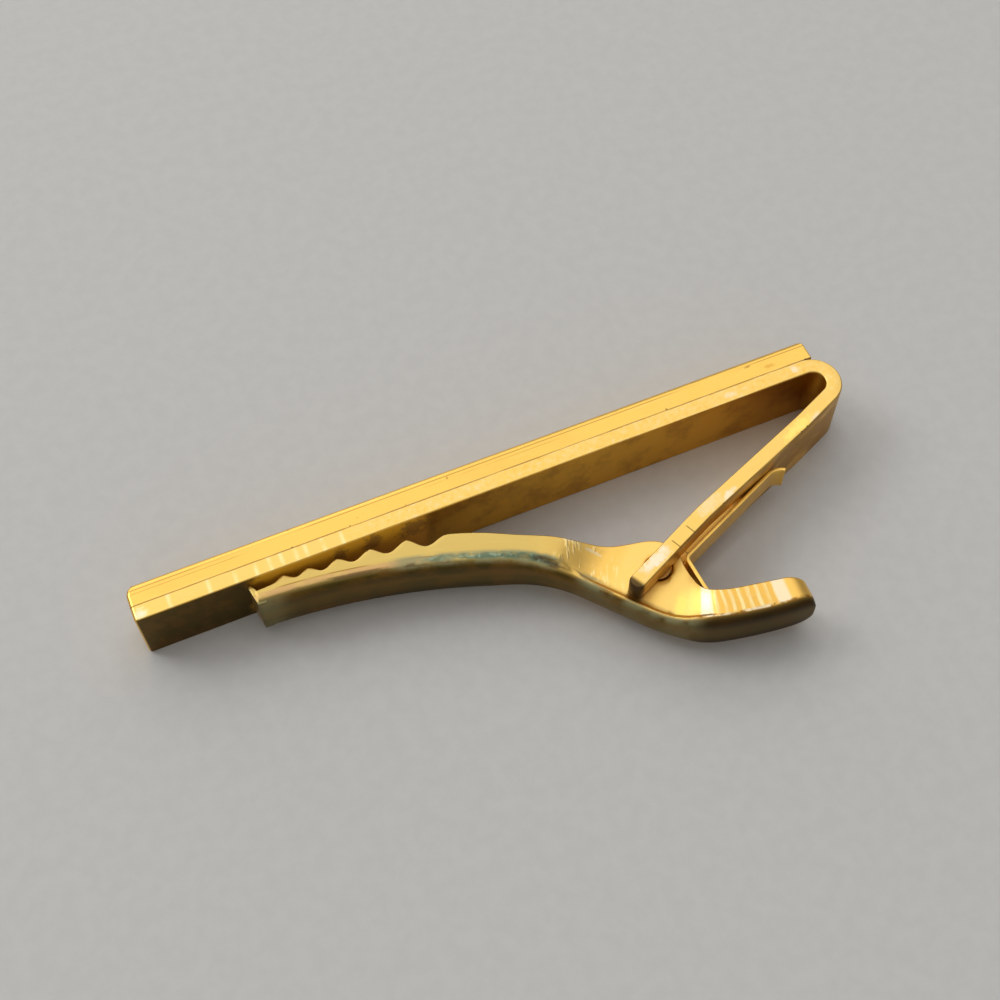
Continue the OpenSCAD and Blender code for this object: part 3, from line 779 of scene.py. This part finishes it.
def jaw_bend(finish):
    """Along the outside of the bends: a rose line, verdigris past the teeth, scuffs at the shoulder."""
    outside = math_node(finish.tree, "SUBTRACT", 1.0, finish.facing((0, 1, 0), 0.05, 0.3))

    def along_bend(height, half, soft, stretch, *breaks):
        """A band on the outside at a height, over one stretch of the run, broken up."""
        return finish.times(outside, finish.line("Y", height, half, soft), stretch, *breaks)

    teeth = finish.below("X", 10, 13)
    rose = along_bend(0.62, 0.14, 0.14, teeth, finish.broken(500.0, 0.3, 0.5))
    finish.coat(rose, "rose", 0.4, strength=0.75)
    teeth = finish.below("X", 11, 13)
    scored = along_bend(0.86, 0.02, 0.05, teeth, finish.broken(420.0, 0.36, 0.5, (0.4, 1, 1)))
    finish.coat(scored, "brown", 0.5, strength=0.7)
    past_teeth = finish.span("X", 9.8, 18.6, 1.5)
    bloom = along_bend(0.62, 0.22, 0.35, past_teeth, finish.broken(800.0, 0.3, 0.55))
    finish.coat(bloom, "grey_green", 0.6, metal=0.5, strength=0.8)
    past_teeth = finish.span("X", 11.6, 19.2, 0.9)
    patches = finish.broken(620.0, 0.3, 0.6, (0.4, 1, 1))
    grains = finish.broken(2300.0, 0.3, 0.6, (0.5, 1, 1))
    crust = along_bend(0.66, 0.1, 0.24, past_teeth, patches, grains)
    finish.coat(crust, "verdigris", 0.8, metal=0.1)
    flecks = finish.times(crust, finish.broken(3600.0, 0.5, 0.62, (0.7, 1, 1)))
    finish.coat(flecks, "pale_crust", 0.85, metal=0.0, strength=0.8)
    finish.raise_by(crust, 12)
    finish.raise_by(flecks, 8)
    for low, high, height, scale in (
        (2, 12.5, 0.42, 900.0),
        (18.3, 23.4, 0.46, 1300.0),
        (18.3, 21.8, 0.66, 1700.0),
    ):
        breaks = finish.broken(scale, 0.44, 0.56, (0.5, 1, 1))
        scuffs = along_bend(height, 0.06, 0.12, finish.span("X", low, high, 0.4), breaks)
        finish.coat(scuffs, "scuffed", 0.6, metal=0.6, strength=0.7)
    neck = finish.span("X", 22.0, 29.0, 1.5)
    bloom = along_bend(0.52, 0.32, 0.3, neck, finish.broken(650.0, 0.3, 0.6))
    finish.coat(bloom, "grey_green", 0.5, metal=0.6, strength=0.75)


def spring_finish():
    """Thin rolled leaf, warm, browned inside and rubbed at its edges, with painted sparkles."""
    finish = Finish("spring_gold_worn", "spring_gold", 0.3)
    finish.coat(finish.mask("Film", Scale=620.0, Cover=0.5), "brown", 0.4, strength=0.16)
    common_wear(finish, 0.1, scratch=0.9, edge=0.45)
    # Painted sparkles: small bright specks.
    finish.coat(finish.mask("Specks", Scale=4200.0, Share=0.12), "rubbed", 0.25, strength=0.6)
    return finish.finish()


def pin_finish():
    """Dull pin with a patchy brown film."""
    finish = Finish("pin_gold_worn", "pin_gold", 0.4)
    finish.coat(finish.mask("Film", Scale=700.0, Cover=0.55), "brown", 0.5, strength=0.6)
    common_wear(finish, 0.08)
    return finish.finish()


def floor_finish(colour_value):
    """Pale matt board with the faintest fleck."""
    material = bpy.data.materials.new("pale_floor")
    material.use_nodes = True
    tree = material.node_tree
    shader = tree.nodes["Principled BSDF"]
    place = tree.nodes.new("ShaderNodeTexCoord")
    fleck = ramp(tree, noise(tree, place.outputs["Object"], 900.0, 4.0), 0.3, 0.7)
    mix = tree.nodes.new("ShaderNodeMix")
    mix.data_type = "RGBA"
    mix.inputs[6].default_value = (*[value * 0.96 for value in colour_value], 1)
    mix.inputs[7].default_value = (*colour_value, 1)
    join(tree, (fleck, mix.inputs[0]), (mix.outputs[2], shader.inputs["Base Color"]))
    shader.inputs["Roughness"].default_value = 0.85
    return material


# Modelling steps


def only(piece):
    """Leaves one piece selected and active, in object mode."""
    bpy.ops.object.select_all(action="DESELECT")
    piece.select_set(True)
    bpy.context.view_layer.objects.active = piece


def edit(piece):
    """Opens one piece in edit mode, with all of it selected."""
    only(piece)
    bpy.ops.object.mode_set(mode="EDIT")
    bpy.ops.mesh.select_all(action="SELECT")


def worn_copy(node):
    """A new piece from a merged copy of a CAD node's mesh, its triangles joined to quads."""
    piece = bpy.data.objects.new(node + "_worn", frame["nodes"][node].data.copy())
    bpy.context.scene.collection.objects.link(piece)
    piece.data.materials.clear()
    edit(piece)
    bpy.ops.mesh.remove_doubles(threshold=2 * MICRON)
    bpy.ops.mesh.customdata_custom_splitnormals_clear()
    bpy.ops.mesh.tris_convert_to_quads(
        face_threshold=math.radians(40), shape_threshold=math.radians(60)
    )
    bpy.ops.object.mode_set(mode="OBJECT")
    return piece


def flatten_faces(piece):
    """Dissolves the edges inside flat faces."""
    edit(piece)
    bpy.ops.mesh.dissolve_limited(angle_limit=math.radians(0.6), use_dissolve_boundaries=False)
    bpy.ops.object.mode_set(mode="OBJECT")


def cut_across(piece, places_mm):
    """Cuts the piece's faces with planes across X, these far from the bar's free end."""
    only(piece)
    bpy.ops.object.mode_set(mode="EDIT")
    for place in places_mm:
        bpy.ops.mesh.select_all(action="SELECT")
        bpy.ops.mesh.bisect(plane_co=(BAR_LOW.x + place * MM, 0, 0), plane_no=(1, 0, 0))
    bpy.ops.object.mode_set(mode="OBJECT")


def modify(piece, kind, **values):
    """Adds a modifier with these values and applies it."""
    only(piece)
    bpy.ops.object.modifier_add(type=kind)
    modifier = piece.modifiers[-1]
    for name, value in values.items():
        setattr(modifier, name, value)
    bpy.ops.object.modifier_apply(modifier=modifier.name)


def round_edges(piece, width, steps, share=None):
    """Rounds every sharp edge. From the middle of one, share says how much of the width it gets."""
    mesh = piece.data
    beside = {}
    for face in mesh.polygons:
        for key in face.edge_keys:
            beside.setdefault(key, []).append(face.normal)
    weight = mesh.attributes.new("bevel_weight_edge", "FLOAT", "EDGE")
    for edge in mesh.edges:
        pair = beside.get(edge.key, [])
        if len(pair) == 2 and pair[0].angle(pair[1], 0) > math.radians(SHARP_EDGE):
            middle = (mesh.vertices[edge.vertices[0]].co + mesh.vertices[edge.vertices[1]].co) / 2
            weight.data[edge.index].value = share(middle) if share else 1.0
    modify(
        piece, "BEVEL", width=width, segments=steps, limit_method="WEIGHT", use_clamp_overlap=False
    )
    left = piece.data.attributes.get("bevel_weight_edge")
    if left:
        piece.data.attributes.remove(left)


def smooth_by_angle(piece, angle=30):
    """Smooth shading, with the edges sharper than an angle kept."""
    only(piece)
    bpy.ops.object.shade_smooth_by_angle(angle=math.radians(angle))
    modify(piece, "WEIGHTED_NORMAL", keep_sharp=True)


def run_places(start, legs):
    """Places along a run: each its distance in metres, x, y and heading."""
    x, y, heading = start[0], start[1], math.radians(start[2])
    places, gone = [], 0.0
    for leg_mm, turn in legs:
        count = math.ceil(leg_mm / RUN_STEP)
        piece, bend = leg_mm * MM / count, math.radians(turn) / count
        for _ in range(count):
            places.append((gone, x, y, heading))
            middle = heading + bend / 2
            x, y = x + piece * math.cos(middle), y + piece * math.sin(middle)
            heading, gone = heading + bend, gone + piece
    places.append((gone, x, y, heading))
    return places


def lay_run(piece, start, legs):
    """Gives a piece the map "run": the distance along its bent sheet and the height beside it."""
    places = run_places(start, legs)
    tree = KDTree(len(places))
    for index, (_, x, y, _) in enumerate(places):
        tree.insert((x, y, 0), index)
    tree.balance()
    mesh = piece.data
    flat = []
    for vertex in mesh.vertices:
        gone, x, y, heading = places[tree.find((vertex.co.x, vertex.co.y, 0))[1]]
        dx, dy = vertex.co.x - x, vertex.co.y - y
        along = dx * math.cos(heading) + dy * math.sin(heading)
        left = dy * math.cos(heading) - dx * math.sin(heading)
        flat.append((gone + along, left))
    layer = mesh.uv_layers.new(name="run")
    for loop in mesh.loops:
        layer.uv[loop.index].vector = flat[loop.vertex_index]


def seat(piece, node, body, material):
    """Gives a finished piece its material and its body, and hides the CAD node that it stands for."""
    piece.data.materials.append(material)
    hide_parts(node)
    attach(piece, body)


def seam_share(middle):
    """Crisp edges at the seam, softer along the fold's outside, and the softest at the free end."""
    sizes = settings()[0]
    crisp = sizes.seam_edge / sizes.bar_edge
    if abs(middle.y - BAR_LOW.y) < SEAM_REACH * MM:
        return crisp
    dx, dy = middle.x - FOLD_AT[0], middle.y - FOLD_AT[1]
    if dx > 0 and FOLD_RING[0] * MM < math.hypot(dx, dy) < FOLD_RING[1] * MM:
        return crisp + (1 - crisp) * min(1, math.atan2(dx, dy) / math.radians(SOFT_AFTER))
    return 1 + max(0, 1 - (middle.x - BAR_LOW.x) / (FREE_END_REACH * MM))


class TIECLIP_OT_front_bar(bpy.types.Operator):
    """Front bar: the plain flat bar that shows when the clip is worn"""

    bl_idname = "tieclip.front_bar"
    bl_label = "Front bar"

    def execute(self, context):
        sizes = settings()[0]
        piece = worn_copy("front_bar")
        flatten_faces(piece)
        round_edges(piece, sizes.bar_edge, sizes.edge_steps, seam_share)
        smooth_by_angle(piece)
        seat(piece, "front_bar", "frame", bar_finish(sizes))
        return {"FINISHED"}


class TIECLIP_OT_backing_strip(bpy.types.Operator):
    """Backing strip: flat behind the bar, folded round and forked"""

    bl_idname = "tieclip.backing_strip"
    bl_label = "Backing strip"

    def execute(self, context):
        sizes = settings()[0]
        piece = worn_copy("backing_strip")
        flatten_faces(piece)
        cut_across(piece, STRIP_CUTS)
        round_edges(piece, sizes.strip_edge, sizes.edge_steps, seam_share)
        modify(piece, "TRIANGULATE")
        smooth_by_angle(piece)
        lay_run(piece, STRIP_START, STRIP_LEGS)
        seat(piece, "backing_strip", "frame", strip_finish(sizes))
        return {"FINISHED"}


class TIECLIP_OT_pivot_pin(bpy.types.Operator):
    """Pivot pin: the drum between the prongs that the lever turns on"""

    bl_idname = "tieclip.pivot_pin"
    bl_label = "Pivot pin"

    def execute(self, context):
        sizes = settings()[0]
        piece = worn_copy("pivot_pin")
        flatten_faces(piece)
        round_edges(piece, sizes.pin_edge, sizes.edge_steps)
        smooth_by_angle(piece)
        seat(piece, "pivot_pin", "frame", pin_finish())
        return {"FINISHED"}


class TIECLIP_OT_jaw_lever(bpy.types.Operator):
    """Jaw lever: the stamped channel with its teeth, its two ears and its thumb tab"""

    bl_idname = "tieclip.jaw_lever"
    bl_label = "Jaw lever"

    def execute(self, context):
        sizes = settings()[0]
        piece = worn_copy("jaw_lever")
        bite = min(vertex.co.x for vertex in piece.data.vertices) + BITE_REACH * MM
        round_edges(piece, sizes.lever_edge, 2, lambda at: BITE_SHARE if at.x < bite else 1.0)
        modify(piece, "SUBSURF", levels=1, render_levels=1)
        smooth_by_angle(piece, 60)
        lay_run(piece, LEVER_START, LEVER_LEGS)
        seat(piece, "jaw_lever", "lever", lever_finish(sizes))
        return {"FINISHED"}


class TIECLIP_OT_leaf_spring(bpy.types.Operator):
    """Leaf spring: one leg on the arm, one in the tab"""

    bl_idname = "tieclip.leaf_spring"
    bl_label = "Leaf spring"

    def execute(self, context):
        sizes = settings()[0]
        piece = worn_copy("leaf_spring")
        round_edges(piece, sizes.spring_edge, 2)
        modify(piece, "SUBSURF", levels=2, render_levels=2, subdivision_type="SIMPLE")
        smooth_by_angle(piece)
        piece.data.materials.append(spring_finish())
        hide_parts("leaf_spring")
        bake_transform(piece)
        return {"FINISHED"}


class TIECLIP_OT_stage(bpy.types.Operator):
    """Stage: camera, pale floor and soft lights"""

    bl_idname = "tieclip.stage"
    bl_label = "Stage"

    def execute(self, context):
        stage = settings()[2]
        self.add_camera(context, stage)
        bpy.ops.mesh.primitive_plane_add(size=stage.floor_size, location=(0, 0, 0))
        floor = context.object
        floor.name = "pale_floor"
        floor.data.materials.append(floor_finish(stage.floor_colour))
        for name, place, size in PANELS:
            light = getattr(stage, name + "_light")
            self.add_panel(context, name + "_panel", Vector(place), size, light)
        self.light_world(context, stage)
        context.scene.view_settings.view_transform = "Standard"
        return {"FINISHED"}

    def add_camera(self, context, stage):
        """A camera at the photograph's viewing angle."""
        down, round_, roll = stage.look_down, stage.look_round, stage.roll
        forward = Vector(
            (math.sin(round_) * math.cos(down), math.cos(round_) * math.cos(down), -math.sin(down))
        )
        level = Vector((math.cos(round_), -math.sin(round_), 0))
        right = Matrix.Rotation(-roll, 3, forward) @ level
        up = right.cross(forward)
        turn = Matrix((right, up, -forward)).transposed()
        data = bpy.data.cameras.new("camera")
        data.lens = stage.lens
        data.sensor_width = 36
        data.clip_start = 2 * MM
        camera = bpy.data.objects.new("camera", data)
        context.scene.collection.objects.link(camera)
        camera.matrix_world = Matrix.Translation(stage.eye) @ turn.to_4x4()
        context.scene.camera = camera

    def add_panel(self, context, name, place, size, light):
        """A soft square light that faces the clip. At 1 it is a white panel."""
        data = bpy.data.lights.new(name, "AREA")
        data.size = size
        data.energy = light * math.pi * size * size
        lamp = bpy.data.objects.new(name, data)
        context.scene.collection.objects.link(lamp)
        facing = place.to_track_quat("Z", "Y").to_matrix().to_4x4()
        lamp.matrix_world = Matrix.Translation(place) @ facing

    def light_world(self, context, stage):
        """Even pale light all round."""
        world = bpy.data.worlds.new("studio")
        world.use_nodes = True
        background = world.node_tree.nodes["Background"]
        background.inputs["Color"].default_value = (1.0, 0.985, 0.96, 1)
        background.inputs["Strength"].default_value = stage.world_light
        context.scene.world = world


class TIECLIP_PT_pieces(bpy.types.Panel):
    """The clip's pieces, its stage and their values"""

    bl_idname = "TIECLIP_PT_pieces"
    bl_label = "Tie clip"
    bl_space_type = "VIEW_3D"
    bl_region_type = "UI"
    bl_category = "Tie clip"

    def draw(self, context):
        for operator in OPERATORS:
            self.layout.operator(operator.bl_idname)
        for group in settings():
            box = self.layout.box()
            for name in group.bl_rna.properties.keys():
                if name not in ("rna_type", "name"):
                    box.prop(group, name)


GROUPS = (TieClipSizes, TieClipColours, TieClipStage)
OPERATORS = (
    TIECLIP_OT_front_bar,
    TIECLIP_OT_backing_strip,
    TIECLIP_OT_pivot_pin,
    TIECLIP_OT_jaw_lever,
    TIECLIP_OT_leaf_spring,
    TIECLIP_OT_stage,
)


def register():
    for cls in (*GROUPS, *OPERATORS, TIECLIP_PT_pieces):
        bpy.utils.register_class(cls)
    bpy.types.Scene.tie_clip_sizes = PointerProperty(type=TieClipSizes)
    bpy.types.Scene.tie_clip_colours = PointerProperty(type=TieClipColours)
    bpy.types.Scene.tie_clip_stage = PointerProperty(type=TieClipStage)


def unregister():
    for name in ("tie_clip_sizes", "tie_clip_colours", "tie_clip_stage"):
        delattr(bpy.types.Scene, name)
    for cls in reversed((*GROUPS, *OPERATORS, TIECLIP_PT_pieces)):
        bpy.utils.unregister_class(cls)


def main():
    """Builds the dressed clip and its stage."""
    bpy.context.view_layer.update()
    register()
    for build in SHARED:
        build()
    bpy.ops.tieclip.front_bar()
    bpy.ops.tieclip.backing_strip()
    bpy.ops.tieclip.pivot_pin()
    bpy.ops.tieclip.jaw_lever()
    bpy.ops.tieclip.leaf_spring()
    bpy.ops.tieclip.stage()


if __name__ == "__main__":
    main()
